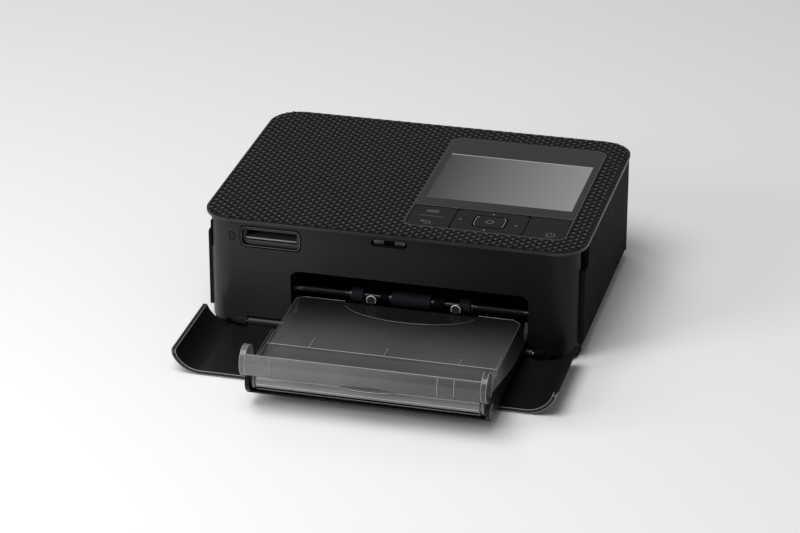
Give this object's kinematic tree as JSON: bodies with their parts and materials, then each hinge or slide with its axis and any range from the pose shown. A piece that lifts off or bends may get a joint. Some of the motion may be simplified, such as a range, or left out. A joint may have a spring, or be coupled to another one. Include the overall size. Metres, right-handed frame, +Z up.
{
  "type": "compact photo printer",
  "caption": "Compact black photo printer with its paper tray in place, front door folded down and a panel with a small screen and keys on top.",
  "frame": {"origin": "on the table under the middle of the whole printer, with its front door open and its tray in place", "axes": "+X to the printer's right as seen from the front, -Y out of the front, +Z up"},
  "size_m": [0.1822, 0.2154, 0.0576],
  "materials": {
    "case_black": "satin",
    "gloss_panel": "polished",
    "display_glass": "polished",
    "key_black": "satin",
    "smoke_clear": "polished",
    "tray_black": "satin",
    "roller_rubber": "matte",
    "foot_rubber": "matte",
    "bright_steel": "brushed",
    "gear_plastic": "satin",
    "inner_black": "matte",
    "board_green": "satin",
    "head_alloy": "satin",
    "ribbon_wound": "satin",
    "ribbon_sheet": "satin",
    "lever_orange": "satin",
    "pinion_brass": "satin"
  },
  "bodies": {
    "printer": {"top_cover": "case_black", "control_panel": "gloss_panel", "display_module": "display_glass", "panel_board": "board_green", "front_bezel": "case_black", "rear_housing": "case_black", "base_pan": "case_black", "rubber_feet": "foot_rubber", "base_screws": "bright_steel", "card_reader": "inner_black", "latch_catch": "inner_black", "door_pins": "bright_steel", "left_chassis_plate": "bright_steel", "right_chassis_plate": "bright_steel", "cross_ties": "bright_steel", "shaft_bushes": "gear_plastic", "main_board": "board_green", "wireless_module": "board_green", "feed_motor": "bright_steel", "motor_bracket": "bright_steel", "fan_frame": "inner_black", "paper_guide": "inner_black", "rear_guide": "inner_black", "dc_inlet": "inner_black", "usb_port": "bright_steel", "head_shaft": "bright_steel", "ribbon_film": "ribbon_sheet", "ink_cassette_shell": "inner_black"},
    "door": {"front_door": "case_black"},
    "tray": {"cassette_base": "tray_black", "lift_plate": "tray_black"},
    "lid": {"cassette_lid": "smoke_clear"},
    "ink_hatch": {"ink_door": "case_black", "ink_door_pins": "bright_steel"},
    "lever": {"eject_lever": "lever_orange"},
    "head": {"head_arm": "head_alloy", "thermal_head": "head_alloy"},
    "pinion": {"motor_pinion": "pinion_brass"},
    "idler": {"idler_gear": "gear_plastic"},
    "capstan": {"capstan_roller": "bright_steel", "capstan_gear": "gear_plastic"},
    "pinch": {"pinch_roller": "roller_rubber"},
    "platen": {"platen_roller": "roller_rubber"},
    "transfer_1": {"transfer_gear_1": "gear_plastic"},
    "transfer_2": {"transfer_gear_2": "gear_plastic"},
    "transfer_3": {"transfer_gear_3": "gear_plastic"},
    "pickup": {"pickup_shaft": "bright_steel", "pickup_rollers": "roller_rubber", "pickup_gear": "gear_plastic"},
    "take_up": {"take_up_spool": "ribbon_wound", "ribbon_gear": "gear_plastic"},
    "supply": {"supply_spool": "ribbon_wound"},
    "fan": {"fan_rotor": "inner_black"},
    "menu_key": {"menu_back_key": "key_black"},
    "pad_frame": {"pad_rocker_frame": "inner_black"},
    "pad": {"navigation_pad": "key_black"},
    "ok_key": {"ok_button": "key_black"},
    "power": {"power_key": "key_black"}
  },
  "joints": [
    {"name": "door_swing", "type": "hinge", "parent": "printer", "child": "door", "pos_m": [0, -0.02205, 0.0036], "axis": [-1, 0, 0], "range_deg": [0, 3]},
    {"name": "tray_slide", "type": "slide", "parent": "printer", "child": "tray", "axis": [0, -1, 0], "range_m": [0, 0.11]},
    {"name": "lid_swing", "type": "hinge", "parent": "tray", "child": "lid", "pos_m": [0.00925, -0.09375, 0.0126], "axis": [1, 0, 0], "range_deg": [0, 70]},
    {"name": "ink_hatch_swing", "type": "hinge", "parent": "printer", "child": "ink_hatch", "pos_m": [0.0893, 0.03875, 0.0083], "axis": [0, 1, 0], "range_deg": [0, 90]},
    {"name": "eject_lever_lift", "type": "slide", "parent": "printer", "child": "lever", "axis": [0, 0, 1], "range_m": [0, 0.003]},
    {"name": "head_tilt", "type": "hinge", "parent": "printer", "child": "head", "pos_m": [0.00925, 0.04525, 0.046], "axis": [1, 0, 0], "range_deg": [0, 4]},
    {"name": "motor_spin", "type": "hinge", "parent": "printer", "child": "pinion", "pos_m": [-0.0547, 0.08406, 0.0298], "axis": [1, 0, 0], "continuous": true},
    {"name": "capstan_spin", "type": "hinge", "parent": "printer", "child": "capstan", "pos_m": [0.00925, 0.07275, 0.0266], "axis": [1, 0, 0], "continuous": true},
    {"name": "idler_spin", "type": "hinge", "parent": "printer", "child": "idler", "pos_m": [-0.0547, 0.06023, 0.02], "axis": [1, 0, 0], "continuous": true},
    {"name": "transfer_1_spin", "type": "hinge", "parent": "printer", "child": "transfer_1", "pos_m": [-0.0547, 0.04274, 0.02036], "axis": [1, 0, 0], "continuous": true},
    {"name": "transfer_2_spin", "type": "hinge", "parent": "printer", "child": "transfer_2", "pos_m": [-0.0547, 0.02014, 0.02083], "axis": [1, 0, 0], "continuous": true},
    {"name": "transfer_3_spin", "type": "hinge", "parent": "printer", "child": "transfer_3", "pos_m": [-0.0547, -0.00245, 0.0213], "axis": [1, 0, 0], "continuous": true},
    {"name": "pickup_spin", "type": "hinge", "parent": "printer", "child": "pickup", "pos_m": [0.00925, -0.01725, 0.0216], "axis": [1, 0, 0], "continuous": true},
    {"name": "pinch_spin", "type": "hinge", "parent": "printer", "child": "pinch", "pos_m": [0.00925, 0.07275, 0.033], "axis": [1, 0, 0], "continuous": true},
    {"name": "platen_spin", "type": "hinge", "parent": "printer", "child": "platen", "pos_m": [0.00925, 0.05675, 0.0244], "axis": [1, 0, 0], "continuous": true},
    {"name": "take_up_spin", "type": "hinge", "parent": "printer", "child": "take_up", "pos_m": [0.00925, 0.08075, 0.042], "axis": [1, 0, 0], "continuous": true},
    {"name": "supply_spin", "type": "hinge", "parent": "printer", "child": "supply", "pos_m": [0.00925, 0.03275, 0.042], "axis": [1, 0, 0], "continuous": true},
    {"name": "fan_spin", "type": "hinge", "parent": "printer", "child": "fan", "pos_m": [-0.084, 0.02025, 0.029], "axis": [1, 0, 0], "continuous": true},
    {"name": "menu_back_rock", "type": "hinge", "parent": "printer", "child": "menu_key", "pos_m": [0.0146, 0.00065, 0.0559], "axis": [1, 0, 0], "range_deg": [-1.2, 1.2], "stiffness_Nm_per_rad": 0.05},
    {"name": "pad_tilt_front_back", "type": "hinge", "parent": "printer", "child": "pad_frame", "pos_m": [0.04225, 0.00065, 0.0552], "axis": [1, 0, 0], "range_deg": [-1.2, 1.2], "stiffness_Nm_per_rad": 0.05},
    {"name": "pad_tilt_sideways", "type": "hinge", "parent": "pad_frame", "child": "pad", "pos_m": [0.04225, 0.00065, 0.0552], "axis": [0, 1, 0], "range_deg": [-1.2, 1.2], "stiffness_Nm_per_rad": 0.05},
    {"name": "ok_press", "type": "slide", "parent": "printer", "child": "ok_key", "axis": [0, 0, -1], "range_m": [0, 0.0005], "stiffness_N_per_m": 200},
    {"name": "power_press", "type": "slide", "parent": "printer", "child": "power", "axis": [0, 0, -1], "range_m": [0, 0.0005], "stiffness_N_per_m": 200}
  ],
  "couplings": [
    {"joint": "motor_spin", "follows": "take_up_spin", "ratio": -2.6},
    {"joint": "capstan_spin", "follows": "take_up_spin", "ratio": 1.0833},
    {"joint": "idler_spin", "follows": "take_up_spin", "ratio": -1.4444},
    {"joint": "transfer_1_spin", "follows": "take_up_spin", "ratio": 0.74286},
    {"joint": "transfer_2_spin", "follows": "take_up_spin", "ratio": -0.74286},
    {"joint": "transfer_3_spin", "follows": "take_up_spin", "ratio": 0.74286},
    {"joint": "pickup_spin", "follows": "take_up_spin", "ratio": -2.8889},
    {"joint": "pinch_spin", "follows": "take_up_spin", "ratio": -1.0833},
    {"joint": "platen_spin", "follows": "take_up_spin", "ratio": 0.60667},
    {"joint": "supply_spin", "follows": "take_up_spin", "ratio": 1}
  ]
}
